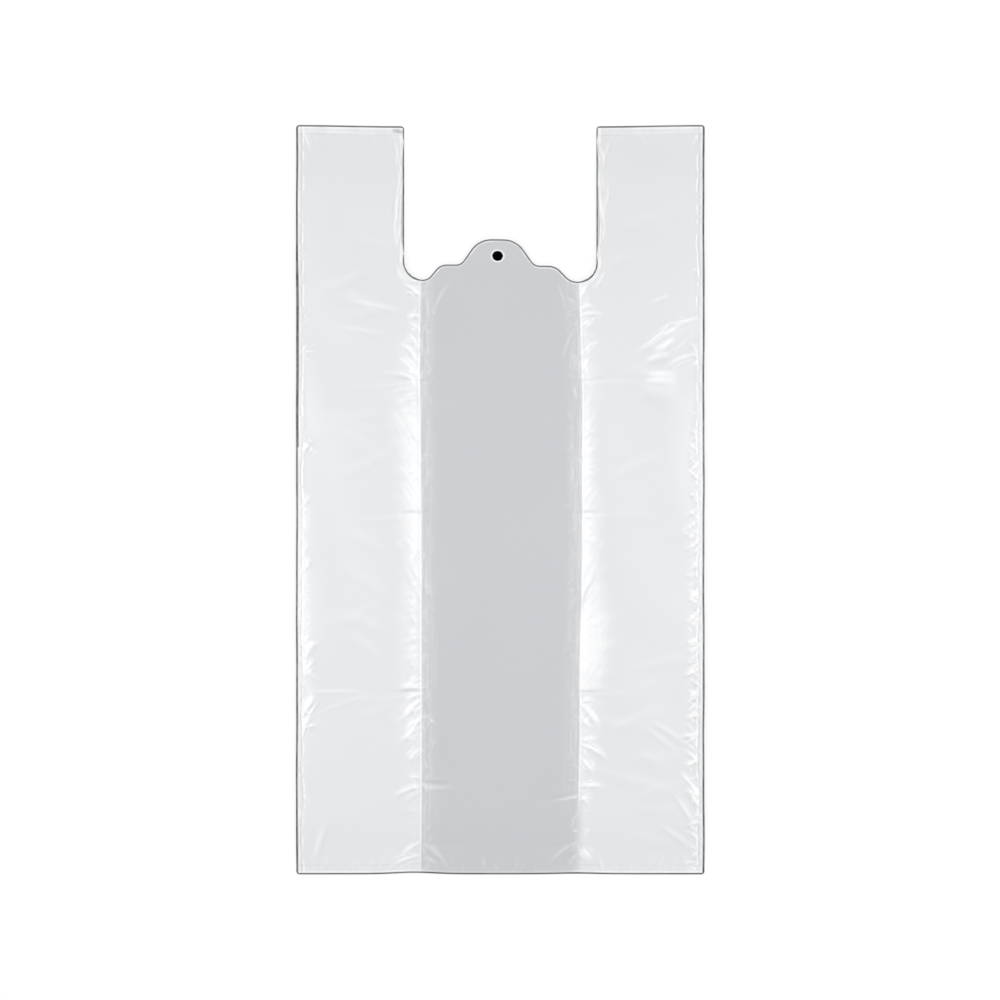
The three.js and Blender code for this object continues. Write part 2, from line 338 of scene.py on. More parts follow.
# Other creases of the photograph: x and y of their start and end, height, width, bow.
FREE_CREASES = (
    (145, 134, 121, 129, 0.5, 1.2, 1), (124, 129, 100, 109, 0.5, 1.3, 1.5),
    (131, 128, 117, 120, 0.5, 1.5, 0.5), (127, 119, 112, 109, 0.55, 1.9, 0.8),
    (138, 119, 126, 108, 0.2, 1.1, 0.5), (144, 107, 120, 97, 0.4, 1.3, -1.5),
    (107, 102, 125, 108.5, 0.42, 2.3, 0.3), (107, 87.8, 128, 87.2, 0.5, 2.3, 0.3),
    (104, 83, 130, 81, 0.2, 6, 0), (108, 92, 129, 92.8, 0.42, 2.2, 0),
    (111, 145, 125, 150, 0.25, 1.3, 0.3), (110, -162, 138, -181, 0.22, 1.4, 1),
    (107, -168, 130, -186, 0.18, 1.4, 1), (132, -200, 146, -217, 0.4, 1.2, 0.5),
    (138, -211, 146, -227, 0.5, 1.2, 0.5), (128, -217, 144, -242, 0.28, 1.5, 1),
    (118, -239, 142, -256, 0.2, 1.7, 0.5), (-139, -141, -100, -141, 0.2, 1.2, 0.5),
    (-134, -157, -92, -143, 0.1, 1.5, 2), (-144, -117, -136, -105, 0.45, 1.2, 0.5),
    (-145, -128, -136, -117, 0.45, 1.2, 0.5), (-145, -158, -135, -143, 0.55, 1.4, 0.5),
    (-146, -174, -139, -157, 0.4, 1.2, 0.5), (-136, -262, -128, -236, 0.2, 2, 0.5),
    (-110, 146, -72, 138, 0.18, 1.5, 0.5), (-120, 127, -82, 121, 0.16, 1.5, 0.5),
    (-49, 139, -33, 161, 0.28, 1.1, 0.5), (-45, 146, -38, 157, 0.22, 1, 0.3),
    (-53, 148, -53, 132, 0.22, 1, 0.3), (-54, 128, -54, 108, 0.2, 1, 0.3),
    (46, 104, 56, 128, 0.26, 1.1, 0.8), (43, 160, 49, 140, 0.22, 1.1, 0.5),
    (50, 150, 57, 142, 0.22, 1, 0.3), (-54, -167, -50, -162, 0.4, 1, 0.2),
    (-50, -182, -48, -178, 0.3, 1, 0.1), (-57, -207.8, -36, -208.4, -0.55, 0.9, 0.2),
    (-57, -211.6, -31, -212.2, 0.32, 0.8, 0.2), (-57, -205.2, -36, -205.6, 0.18, 0.8, 0.2),
    (-50, 139, -48, 136, 0.3, 1, 0), (-66, 133.5, -61, 135.5, 0.3, 1.2, 0),
    (58, -215, 32, -220, -0.35, 1.2, 0.5), (57, -218, 38, -221, 0.25, 1, 0.3),
    (-57, -253, -38, -270, 0.4, 1.3, 1.5), (-57, -257, -42, -272, -0.3, 1.2, 1),
    (-57, -264, -36, -272, 0.3, 1.3, 1), (57, -251, 34, -269, 0.3, 1.4, -1.5),
    (57, -258, 44, -270, -0.25, 1.4, -1), (-57, -252, -18, -253, -0.15, 2, 0.5),
    (57, -252, 22, -256, -0.12, 2, -0.5), (60, -256, 67, -265, 0.45, 1.5, 0.3),
    (-76, 171, -66, 158, 0.4, 1.3, -1.5), (-68, 157, -58, 150, 0.4, 1.3, -0.5),
    (76, 168, 67, 156, 0.3, 1.3, 1.5), (-145, 271, -140, 257, 0.45, 1, 0.2),
    (-78, 265, -74, 252, 0.3, 1, 0.3), (80, 264, 75, 250, 0.22, 1, 0.3),
    (144, 269, 141, 258, 0.2, 1, 0.2), (-71, 270, -80, 272, -0.7, 1.6, 0),
    (-146, 270.5, -78, 267.5, 0.22, 0.7, 0.6), (76, 269.5, 146, 270, 0.16, 0.7, -0.6),
)
# Where along a crease its tail starts to fade, as a share of its length.
FAN_TAIL = 0.55
FREE_TAIL = 0.75
# A crease that is higher and narrower than this comes in a bundle.
BUNDLE_HEIGHT = 0.3
BUNDLE_WIDTH = 1.6
# Where the bag was folded across for its packet: y.
PACKING_FOLDS = (88, -9, -141)
# Where the small creases of each outer fold crowd together: y.
LEFT_CROWDS = (105, 40, 0, -45, -110, -125, -160)
RIGHT_CROWDS = (
    105, 48, 24, 5, -8, -33, -62, -74, -88, -107, -124, -140, -154, -168, -180, -191, -220, -239, -257,
    -268,
)


def leaving_fold(side, y, angle, reach, height):
    """A crease that runs outwards from a gusset fold."""
    turn = math.radians(angle)
    x = side * (FOLD_X + float(fold_drift(side, y)) + FAN_FROM_FOLD)
    end = (x + side * reach * math.cos(turn), y + reach * math.sin(turn))
    return (x, y), end, height, FAN_WIDTH, side * 0.06 * reach, FAN_TAIL


def scattered(count, place, heading, turned, reach, height, width):
    """Small seeded creases. place makes a start of two random shares. Headings are in degrees."""
    made = []
    for _ in range(count):
        along, across, turn, run, rise = rng.random(5)
        start = place(along, across)
        length = reach[0] + (reach[1] - reach[0]) * run
        angle = math.radians(heading + (turn - 0.5) * turned)
        end = (start[0] + length * math.cos(angle), start[1] + length * math.sin(angle))
        bow = 0.16 * length * (turn - 0.5)
        made.append((start, end, height[0] + (height[1] - height[0]) * rise, width, bow, FAN_TAIL))
    return made


def companions(crease):
    """Two smaller seeded creases that run beside a strong one, as film wrinkles in bundles."""
    start, end, height, width, bow, tail = crease
    length = math.dist(start, end)
    across = ((start[1] - end[1]) / length, (end[0] - start[0]) / length)
    made = []
    for way in (-1, 1):
        first, last, aside, rise = rng.random(4)
        shift = way * width * (1.6 + 1.6 * aside)
        ends = []
        for share in (0.35 * first, 0.6 + 0.4 * last):
            ends.append([start[k] + share * (end[k] - start[k]) + shift * across[k] for k in (0, 1)])
        made.append((ends[0], ends[1], height * (0.25 + 0.5 * rise), 0.6 * width, bow * 0.6, tail))
    return made


def packing_fold(side, y):
    """The valley and ridge that folding the bag for its packet left across one side."""
    inner = side * (FOLD_X - 6)
    return [
        ((inner, y), (inner + side * 26, y + 1), -0.20, 0.9, 0.0, 0.7),
        ((inner + side * 4, y - 2.3), (side * (EDGE_X - 20), y - 4), 0.06, 2.0, 1.5, 0.3),
    ]


def side_scatter(side):
    """The small creases of one side, from its outer fold to its gusset fold, and broad ones across it."""
    out = 0 if side > 0 else 180
    inwards = 180 - out
    lower = BOTTOM_Y + 8
    body = MOUTH_FOOT_Y - BOTTOM_Y - 14
    made = []
    for crowd in (RIGHT_CROWDS if side > 0 else LEFT_CROWDS):
        made += scattered(
            3, lambda a, b: (side * (EDGE_X - 4 - 2 * b), crowd + 15 * (a - 0.5)),
            heading=inwards, turned=100, reach=(5, 16), height=(0.15, 0.45), width=0.9,
        )
        made += scattered(
            2, lambda a, b: (side * (EDGE_X - 4 - 4 * b), crowd + 12 * (a - 0.5)),
            heading=inwards, turned=120, reach=(4, 8), height=(0.1, 0.3), width=0.9,
        )
    # All along the outer fold.
    made += scattered(
        14, lambda a, b: (side * (EDGE_X - 4 - 3 * b), lower + a * (TOP_Y - BOTTOM_Y - 20)),
        heading=inwards, turned=130, reach=(3, 8), height=(0.06, 0.24), width=0.9,
    )
    # Up the handle's inner edge.
    made += scattered(
        11, lambda a, b: (side * (HANDLE_X + 2.5 + 2.5 * b), HANDLE_ROOT_Y + 2 + a * 80),
        heading=90, turned=14, reach=(10, 24), height=(0.2, 0.5), width=0.8,
    )
    # Outwards and inwards from the gusset fold.
    made += scattered(
        70, lambda a, b: (side * (FOLD_X + 1 + 2 * b), lower + a * body),
        heading=out, turned=130, reach=(4, 14), height=(0.06, 0.24), width=1.0,
    )
    made += scattered(
        80, lambda a, b: (side * (FOLD_X - 1 - 5 * b), lower + a * body),
        heading=inwards, turned=170, reach=(4, 12), height=(0.05, 0.2), width=0.9,
    )
    # Down from the handle's weld.
    made += scattered(
        10, lambda a, b: (side * (HANDLE_X + 3 + a * (EDGE_X - HANDLE_X - 6)), TOP_Y - 5),
        heading=270, turned=90, reach=(4, 14), height=(0.02, 0.08), width=1.3,
    )
    # Broad ones across the side.
    made += scattered(
        16, lambda a, b: (side * (FOLD_X + 10 + 30 * b), lower + 12 + a * (TOP_Y - BOTTOM_Y - 70)),
        heading=out, turned=60, reach=(30, 60), height=(0.03, 0.08), width=3.5,
    )
    return made


def all_creases():
    """Every crease of the front film: start, end, height, width, bow and where its tail starts to fade."""
    made = [leaving_fold(-1, *crease) for crease in LEFT_FAN]
    made += [leaving_fold(1, *crease) for crease in RIGHT_FAN]
    made += [(crease[:2], crease[2:4], *crease[4:], FREE_TAIL) for crease in FREE_CREASES]
    for crease in list(made):
        height, width = crease[2:4]
        if height > BUNDLE_HEIGHT and width < BUNDLE_WIDTH:
            made += companions(crease)
    for side in (-1, 1):
        for y in PACKING_FOLDS:
            made += packing_fold(side, y)
        made += side_scatter(side)
    # Leaning out of the left gusset fold below the middle, and up from the bottom weld.
    made += scattered(
        16, lambda a, b: (-FOLD_X - 1, -72 - 66 * a),
        heading=180, turned=24, reach=(8, 15), height=(0.1, 0.22), width=1.5,
    )
    made += scattered(
        46, lambda a, b: (-EDGE_X + 4 + a * 2 * (EDGE_X - 4), BOTTOM_Y + 3),
        heading=90, turned=60, reach=(5, 18), height=(0.03, 0.13), width=1.2,
    )
    return made


SWELL_SEEDS = rng.random((7, 3))
CREASES = all_creases()


def swell(x, y):
    """Slow unevenness that every layer shares."""
    total = np.zeros_like(x)
    for heading, length, phase in SWELL_SEEDS:
        turn = 2 * math.pi * heading
        run = x * math.cos(turn) + y * math.sin(turn)
        total += np.sin(2 * math.pi * (run / (SWELL_SHORTEST + SWELL_SPREAD * length) + phase))
    inwards = smooth(EDGE_X, EDGE_X - SWELL_FROM_EDGE, np.abs(x))
    return SWELL_HEIGHT * (total + 3) * openness(y) * inwards


# How high the creases stand, and how strong their painted highlight and the painted shade beside them are.
CREASE_SHARE = 0.8
CREASE_HIGHLIGHT = 2.5
SHADE_BESIDE = 0.32


def creased(x, y):
    """Height and painted highlight that the creases give to points of the front film. Below 0 it is painted
    shade.
    """
    height = np.zeros_like(x)
    white = np.zeros_like(x)
    for start, end, rise, width, bow, tail in CREASES:
        length = math.dist(start, end)
        ux = (end[0] - start[0]) / length
        uy = (end[1] - start[1]) / length
        reach = 0.6 * length + 4 * width
        near = np.abs(x - (start[0] + end[0]) / 2) < reach
        near &= np.abs(y - (start[1] + end[1]) / 2) < reach
        dx = x[near] - start[0]
        dy = y[near] - start[1]
        t = (dx * ux + dy * uy) / length
        off = (dy * ux - dx * uy - bow * 4 * t * (1 - t)) * (1 if ux >= 0 else -1)
        fade = smooth(-0.1, 0.15, t) * smooth(1.05, tail, t)
        spread = width * (0.8 + 0.6 * np.clip(t, 0, 1))
        height[near] += CREASE_SHARE * rise * fade * np.exp(-np.abs(off / spread) ** 1.5)
        # Painted shade below the crease and a painted highlight on its crest, as if lit from its upper
        # side.
        shaded = SHADE_BESIDE * hump(off, -1.5 * spread, 0.9 * spread)
        lit = hump(off, 0.2 * spread, 0.8 * spread) - shaded
        white[near] += CREASE_HIGHLIGHT * rise * fade * lit * (0.45 + 0.55 * hump(t, 0.4, 0.33))
    return height, white


# Painted reflections, light bands where the shiny film beside a fold mirrors the lamps: y, width, strength.
LEFT_BAND = (
    (-275, 4, 0), (-185, 6, 0.12), (-162, 8, 0.42), (-150, 8, 0.42), (-142, 5, 0.15), (-135, 7.5, 0.42),
    (-110, 7.5, 0.4), (-74, 6.8, 0.5), (-59, 6.2, 0.65), (-44, 6.2, 0.9), (-30, 6.6, 1), (-10.5, 6.8, 1),
    (-8.5, 6.8, 0.25), (-7, 6.8, 1), (14, 7.2, 1.05), (29, 7.6, 1.05), (44, 8.6, 1.05), (58, 9, 1.05),
    (66, 8.5, 0.8), (75, 8, 0.45), (88, 7.5, 0.3), (112, 7, 0.25), (125, 6, 0.1), (135, 5, 0),
)
RIGHT_BAND = (
    (-275, 3, 0.1), (-180, 5, 0.3), (-162, 6.5, 0.45), (-148, 6.5, 0.5), (-144.5, 6, 0.15),
    (-142, 6.5, 0.15), (-138, 8, 1), (-132, 8.6, 1.12), (-118, 9, 1.15), (-103, 9, 1.15), (-88, 8.8, 1.15),
    (-74, 7.7, 0.95), (-59, 6.5, 0.95), (-30, 5.8, 1), (-10.5, 5.8, 1), (-8.5, 5.8, 0.25), (-7, 5.6, 0.9),
    (0, 5.5, 0.8),
    (14, 4.3, 0.95), (44, 4.4, 0.9), (58, 4, 0.85), (73, 4.5, 0.6), (88, 6, 0.3), (102, 5, 0.32),
    (117, 5, 0.18), (132, 3, 0.42), (147, 3.2, 0.35), (158, 3, 0.2),
)
# Painted reflections along the outer folds: y, width, strength.
LEFT_EDGE_BAND = (
    (-275, 1, 0), (-165, 2, 0.2), (-145, 3, 0.35), (-125, 3, 0.5), (-100, 2.2, 0.6), (-60, 1.9, 0.65),
    (-20, 1.9, 0.7), (0, 1.8, 0.55), (12, 1, 0),
)
RIGHT_EDGE_BAND = ((-275, 3, 0), (-120, 4, 0.05), (-10, 4, 0.05), (70, 2, 0))
BAND_FROM_EDGE = 5.0


def band(stations, y, past):
    """Strength of a painted reflection band at a distance past its sharp side. It ends ragged and fading.
    """
    ragged = 1 + 0.05 * np.sin(y / 2.9) + 0.05 * np.sin(y / 1.7 + 1) + 0.07 * np.sin(y / 13 + 2)
    width = station_value(stations, y, 1) * ragged
    return station_value(stations, y, 2) * smooth(3.2 * width, 0.45 * width, past)


def shine(x, y):
    """The painted reflection bands of both sides together. The left one is duller right beside its fold."""
    past = past_fold(x, y)
    inwards = EDGE_X - np.abs(x) - BAND_FROM_EDGE
    at_left = band(LEFT_BAND, y, past) * (0.6 + 0.4 * smooth(0.5, 5, past))
    at_fold = np.where(x < 0, at_left, band(RIGHT_BAND, y, past))
    at_edge = np.where(x < 0, band(LEFT_EDGE_BAND, y, inwards), band(RIGHT_EDGE_BAND, y, inwards))
    return np.maximum(at_fold * (past > -3), at_edge * smooth(-2.2, 0, inwards))


def recede(y):
    """How far the front film's cut edge lies back from the one below it along a handle."""
    wander = 0.8 + 1.3 * smooth(238, 222, y) + 0.45 * np.sin(y / 7.5) + 0.35 * np.sin(y / 19 + 1)
    return wander * smooth(HANDLE_ROOT_Y, HANDLE_ROOT_Y + 18, y) * smooth(TOP_Y - 4, TOP_Y - 20, y)


def round_off(x, y, u, v, direction):
    """Moves points in a square corner onto a rounded one; u and v run from 0 to 1 into the corner."""
    inside = (u > 0) & (v > 0)
    new_u = np.where(inside, u * np.sqrt(np.clip(1 - v**2 / 2, 0, 1)), u)
    new_v = np.where(inside, v * np.sqrt(np.clip(1 - u**2 / 2, 0, 1)), v)
    new_x = x + direction[0] * (new_u - u) * CORNER_RADIUS
    new_y = y + direction[1] * (new_v - v) * CORNER_RADIUS
    return new_x, new_y


def laid(x, y):
    """The bag's points as they lie, with rounded corners and a little out of true."""
    ax = np.abs(x)
    out = np.sign(x)
    from_edge = (ax - EDGE_X) / CORNER_RADIUS + 1
    from_top = (y - TOP_Y) / CORNER_RADIUS + 1
    from_bottom = (BOTTOM_Y - y) / CORNER_RADIUS + 1
    from_inner = np.where(on_handle(x), (HANDLE_X - ax) / CORNER_RADIUS + 1, 0)
    new_x, new_y = round_off(x, y, from_edge, from_top, (out, 1))
    new_x, new_y = round_off(new_x, new_y, from_edge, from_bottom, (out, -1))
    new_x, new_y = round_off(new_x, new_y, from_inner, from_top, (-out, 1))

    tab = smooth(110, 165, y) * smooth(66, 34, ax)
    tilt = smooth(105, 160, y) * smooth(95, 72, ax) * smooth(215, 178, y)
    handle_top = smooth(195, TOP_Y, y) * smooth(EDGE_X, HANDLE_X, ax)
    hem_rise = np.where(x < 0, 1.15 * hump(ax, 63, 20), 0.55 * hump(ax, 56, 20))
    hem = smooth(BOTTOM_Y + 50, BOTTOM_Y, y) * hem_rise
    waver = 0.12 * np.sin(y / 21 + out) + 0.06 * np.sin(y / 8.3) - 0.17
    edge = smooth(EDGE_X - 20, EDGE_X, ax) * waver
    new_x = new_x - TAB_SHIFT * tab + out * edge
    new_y = new_y - TAB_TURN * np.clip(x / FOLD_X, -1, 1) * tilt - HANDLE_TOP_DROP * handle_top + hem
    return new_x, new_y


def outline_distance(x, y):
    """Distance to the die-cut outline, the handles' inner edges among it."""
    outline = np.vstack([MOUTH, [(HANDLE_X, TOP_Y)]])
    ax = np.abs(x)
    nearest = np.full(x.shape, 1e3)
    for a, b in zip(outline, outline[1:]):
        run = b - a
        t = np.clip(((ax - a[0]) * run[0] + (y - a[1]) * run[1]) / (run @ run), 0, 1)
        nearest = np.minimum(nearest, np.hypot(ax - a[0] - t * run[0], y - a[1] - t * run[1]))
    return nearest


class Film:
    """The film's mesh as it is gathered: points in millimetres, faces and what the material reads."""

    # white holds the creases' painted highlight, and below 0 their painted shade; shine holds the painted
    # reflection bands.
    FACTS = ("outer_mm", "hem_mm", "cut_mm", "lip_mm", "fold_mm", "white", "shine", "hole_mm")

    def __init__(self):
        self.points = []
        self.facts = []
        self.faces = []
        self.count = 0

    def add_points(self, x, y, z, facts):
        """Adds a grid of points and returns their numbers."""
        first = self.count
        self.count += x.size
        self.points.append(np.column_stack([x.ravel(), y.ravel(), z.ravel()]))
        self.facts.append(np.column_stack([facts[name].ravel() for name in self.FACTS]))
        return first + np.arange(x.size).reshape(x.shape)

    def add_face(self, corners, flipped):
        corners = tuple(int(c) for c in corners)
        self.faces.append(corners[::-1] if flipped else corners)

    def add_grid(self, index, flipped, skip=None):
        """Quads between neighbouring rows and columns of a grid of point numbers."""
        for j in range(index.shape[0] - 1):
            for i in range(index.shape[1] - 1):
                if skip is None or not skip[j, i]:
                    corners = (index[j, i], index[j, i + 1], index[j + 1, i + 1], index[j + 1, i])
                    self.add_face(corners, flipped)


# Distances that the material takes as out of reach of a line.
NO_LIP = 12
NO_HEM = 1e3
UNLINED = 3.0


def facts_of(x, y, layer, white, shiny):
    """What the material reads at each point: distances to the lines in the photograph, and the creases'
    painted highlight and shade.
    """
    ax = np.abs(x)
    cut = outline_distance(x, y)
    receded = recede(y) * on_handle(x) if layer in ("front", "upper") else np.zeros_like(y)
    lip = np.full_like(x, NO_LIP)
    if layer == "front":
        beside = 6 * smooth(FOLD_X + 6, FOLD_X - 4, ax)
        lip = np.where(cut < 9, cut + beside - 2.0 * (1 - np.clip(receded / 1.2, 0, 1)), NO_LIP)
    # The lower layers' edges lie out of reach of the painted dark edge line.
    lighter = UNLINED if layer in ("lower", "back") else 0.0
    return {
        "outer_mm": EDGE_X - ax + lighter,
        "hem_mm": np.minimum(y - BOTTOM_Y, np.where(on_handle(x), TOP_Y - y, NO_HEM)),
        "cut_mm": cut + 3 * receded + lighter * ~on_handle(x),
        "lip_mm": lip,
        "fold_mm": past_fold(x, y),
        "white": white,
        "shine": shiny,
        "hole_mm": HOLE_RADIUS * (np.hypot(x / HOLE_HALF_WIDTH, (y - HOLE_Y) / HOLE_HALF_HEIGHT) - 1),
    }


def layer_points(film, layer, x, y):
    """Adds a grid of one layer's points and returns their numbers."""
    ax = np.abs(x)
    white = np.zeros_like(x)
    shiny = np.zeros_like(x)
    level = ("back", "lower", "upper", "front").index(layer)
    moved = x
    if layer == "front":
        rise, white = creased(x, y)
        shiny = shine(x, y)
        from_weld = np.minimum(y - BOTTOM_Y, TOP_Y - y)
        keep = smooth(0, 3, EDGE_X - ax) * (0.35 + 0.65 * smooth(0, 14, from_weld))
        crest = EDGE_CREST * hump(EDGE_X - ax, CREST_FROM_EDGE, CREST_WIDTH)
        curl = TAB_CURL * smooth(SHOULDER_Y, TAB_TOP_Y, y) * smooth(40, 20, ax)
        rise = np.maximum(rise, -DEEPEST_VALLEY * openness(y))
        z = front_height(x, y) + keep * (rise + crest) + curl
    elif layer == "back":
        z = np.where(ax < HANDLE_X, FLOOR_GAP, side_height(x, y, 0))
    else:
        z = side_height(x, y, level)
    if layer in ("front", "upper"):
        inner = smooth(HANDLE_X + 14, HANDLE_X, ax) * on_handle(x)
        moved = moved + np.sign(x) * recede(y) * inner * (1.0 if layer == "front" else 0.6)
    if layer in ("lower", "upper"):
        moved = moved + np.sign(x) * fold_drift(x, y) * smooth(HANDLE_X, FOLD_X, ax)
    z = z + swell(x, y) * (0.4 + 0.2 * level)
    px, py = laid(moved, y)
    return film.add_points(px, py, z, facts_of(x, y, layer, white, shiny))


def add_patch(film, layer, columns, rows, place, flipped, seam=None):
    """One grid of a layer. A hidden layer keeps few rows, but every row in its seam to the front."""
    kept = np.arange(len(rows))
    if layer != "front":
        kept = np.unique(np.append(kept[::HIDDEN_EVERY], kept[-1]))
    inner = columns if seam is None else np.delete(columns, seam)
    x, row = np.meshgrid(inner, rows[kept])
    y = place(x, row)
    index = layer_points(film, layer, x, y)
    skip = None
    if layer in ("front", "back") and place is body_y:
        skip = add_hole(film, layer, inner, y, index, flipped)
    film.add_grid(index, flipped, skip)
    if seam is None:
        return
    edge_x = np.full(len(rows), columns[seam])
    edge = layer_points(film, layer, edge_x, place(edge_x, rows))
    beside = index[:, seam]
    for k in range(len(kept) - 1):
        run = list(edge[kept[k]:kept[k + 1] + 1])
        corners = [beside[k]] + run + [beside[k + 1]]
        film.add_face(corners, flipped if seam == -1 else not flipped)


def add_layer(film, layer, columns, flipped, seam=None):
    """One layer of film: its body up to the mouth, and its strips of the handles."""
    add_patch(film, layer, columns, BODY_ROWS, body_y, flipped, seam)
    for side in (-1, 1):
        strip = columns[on_handle(columns) & (side * columns > 0)]
        if len(strip):
            add_patch(film, layer, strip, HANDLE_ROWS, straight_y, flipped, seam)


def add_hole(film, layer, columns, y, body, flipped):
    """Replaces the grid round the hanging hole by rings, and returns which quads they replace."""
    left = np.searchsorted(columns, -HOLE_PATCH)
    right = np.searchsorted(columns, HOLE_PATCH) - 1
    middle = np.argmin(np.abs(columns))
    low = np.searchsorted(y[:, middle], HOLE_Y - HOLE_PATCH)
    high = np.searchsorted(y[:, middle], HOLE_Y + HOLE_PATCH) - 1
    loop = [(low, i) for i in range(left, right)] + [(j, right) for j in range(low, high)]
    loop += [(high, i) for i in range(right, left, -1)] + [(j, left) for j in range(high, low, -1)]
    rim_x = np.array([columns[i] for _, i in loop])
    rim_y = np.array([y[j, i] for j, i in loop])
    angle = np.arctan2(rim_y - HOLE_Y, rim_x)
    share = np.linspace(0, 1, HOLE_RINGS + 1)[1:, None]
    ring_x = rim_x + share * (HOLE_HALF_WIDTH * np.cos(angle) - rim_x)
    ring_y = rim_y + share * (HOLE_Y + HOLE_HALF_HEIGHT * np.sin(angle) - rim_y)
    rings = layer_points(film, layer, ring_x, ring_y)
    rings = np.vstack([[body[j, i] for j, i in loop], rings])
    film.add_grid(np.column_stack([rings, rings[:, 0]]), flipped)
    skip = np.zeros((body.shape[0] - 1, body.shape[1] - 1), bool)
    skip[low:high, left:right] = True
    return skip


def add_weld(film, x_from, x_to, y_edge, inwards):
    """The rolled bead of melted film along a welded edge, a little uneven along its length."""
    stations = np.array(graded(x_from, (x_to, WELD_GAP)))
    turn = 2 * np.pi * np.arange(WELD_SIDES) / WELD_SIDES
    x = np.repeat(stations[:, None], WELD_SIDES, axis=1)
    girth = 1 + 0.12 * np.sin(stations / 3.1)[:, None] + 0.08 * np.sin(stations / 1.3)[:, None]
    from_middle = 2 * np.abs(stations - (x_from + x_to) / 2) / abs(x_to - x_from)
    ends = np.sqrt(np.clip(1 - from_middle**40, 0.02, 1))[:, None]
    y = y_edge + inwards * WELD_WIDTH / 2 * (1 + np.cos(turn)) * np.ones_like(girth)
    z = FLOOR_GAP + WELD_LIFT + WELD_HEIGHT / 2 * np.sin(turn) * girth * ends
    none = np.zeros_like(x)
    px, py = laid(x, y)
    index = film.add_points(px, py, z, facts_of(x, y, "weld", none, none))
    reverse = inwards * (x_to - x_from) > 0
    film.add_grid(np.column_stack([index, index[:, 0]]), reverse)
    film.add_face(index[0], reverse)
    film.add_face(index[-1], not reverse)


def film_mesh():
    """The whole bag as one folded sheet with its welds."""
    film = Film()
    add_layer(film, "front", FRONT_COLUMNS, False)
    add_layer(film, "back", BACK_COLUMNS, True)
    for side in (-1, 1):
        columns = GUSSET_COLUMNS if side > 0 else -GUSSET_COLUMNS[::-1]
        add_layer(film, "upper", columns, True, seam=-1 if side > 0 else 0)
        add_layer(film, "lower", columns, False)
        add_weld(film, side * HANDLE_X, side * EDGE_X, TOP_Y, -1)
    add_weld(film, -EDGE_X, EDGE_X, BOTTOM_Y, 1)

    mesh = bpy.data.meshes.new("carrier_bag_film")
    mesh.from_pydata((np.vstack(film.points) * MM).tolist(), [], film.faces)
    facts = np.vstack(film.facts)
    for column, name in enumerate(Film.FACTS):
        attribute = mesh.attributes.new(name, "FLOAT", "POINT")
        attribute.data.foreach_set("value", facts[:, column].astype(np.float32))
    made = bmesh.new()
    made.from_mesh(mesh)
    bmesh.ops.remove_doubles(made, verts=made.verts, dist=MERGE_DISTANCE)
    for face in made.faces:
        face.smooth = True
    made.to_mesh(mesh)
    made.free()
    return mesh


class Nodes:
    """Short names for the shader nodes that the materials are made of."""

    def __init__(self, tree):
        self.tree = tree
        tree.nodes.clear()

    def put(self, socket, value):
        """Links a socket to another one, or sets its value."""
        if isinstance(value, bpy.types.NodeSocket):
            self.tree.links.new(value, socket)
        else:
            socket.default_value = value

    def add(self, kind, inputs=(), **settings):
        """A new node. Its inputs are given by name or number."""
        node = self.tree.nodes.new(kind)
        for name, value in settings.items():
            setattr(node, name, value)
        for key, value in dict(inputs).items():
            self.put(node.inputs[key], value)
        return node

    def fact(self, name):
        return self.add("ShaderNodeAttribute", attribute_name=name).outputs["Fac"]

    def math(self, operation, *values):
        """An operation on one value, or along several."""
        total = self.add("ShaderNodeMath", enumerate(values[:2]), operation=operation).outputs[0]
        for value in values[2:]:
            total = self.math(operation, total, value)
        return total

    def times(self, *values):
        return self.math("MULTIPLY", *values)

    def sum(self, *values):
        return self.math("ADD", *values)

    def largest(self, *values):
        return self.math("MAXIMUM", *values)

    def span(self, value, low, high, start=0, end=1):
        """Eased from start to end as value goes from low to high."""
        inputs = enumerate((value, low, high, start, end))
        return self.add("ShaderNodeMapRange", inputs, interpolation_type="SMOOTHSTEP").outputs[0]

    def inverse(self, value):
        return self.math("SUBTRACT", 1, value)

    def stripe(self, value, middle, width):
        """1 where value is at middle, falling to 0 at width either side."""
        off = self.math("ABSOLUTE", self.math("SUBTRACT", value, middle))
        return self.span(off, 0, width, 1, 0)

    def broken_line(self, value, middle, width, noise, *span):
        """A stripe whose strength follows a noise."""
        return self.times(self.stripe(value, middle, width), self.span(noise, *span))

    def noise(self, point, stretch, scale, detail=2, roughness=0.5, turn_deg=0):
        """Noise drawn out by stretch along axes that are turned about z."""
        turned = {"Vector": point, "Scale": stretch, "Rotation": (0, 0, math.radians(turn_deg))}
        mapping = self.add("ShaderNodeMapping", turned, vector_type="TEXTURE")
        grain = {"Scale": scale, "Detail": detail, "Roughness": roughness}
        return self.add("ShaderNodeTexNoise", {"Vector": mapping.outputs["Vector"], **grain}).outputs["Fac"]

    def mixed(self, share, first, second):
        node = self.add("ShaderNodeMix", data_type="RGBA")
        for name, value in (("Factor_Float", share), ("A_Color", first), ("B_Color", second)):
            self.put(next(s for s in node.inputs if s.identifier == name), value)
        return next(s for s in node.outputs if s.identifier == "Result_Color")

    def end_with(self, shader, kind="ShaderNodeOutputMaterial"):
        self.add(kind, {"Surface": shader})


def new_material(name, kind=Nodes):
    """A new material, and the nodes to build it with."""
    material = bpy.data.materials.new(name)
    material.use_nodes = True
    return material, kind(material.node_tree)


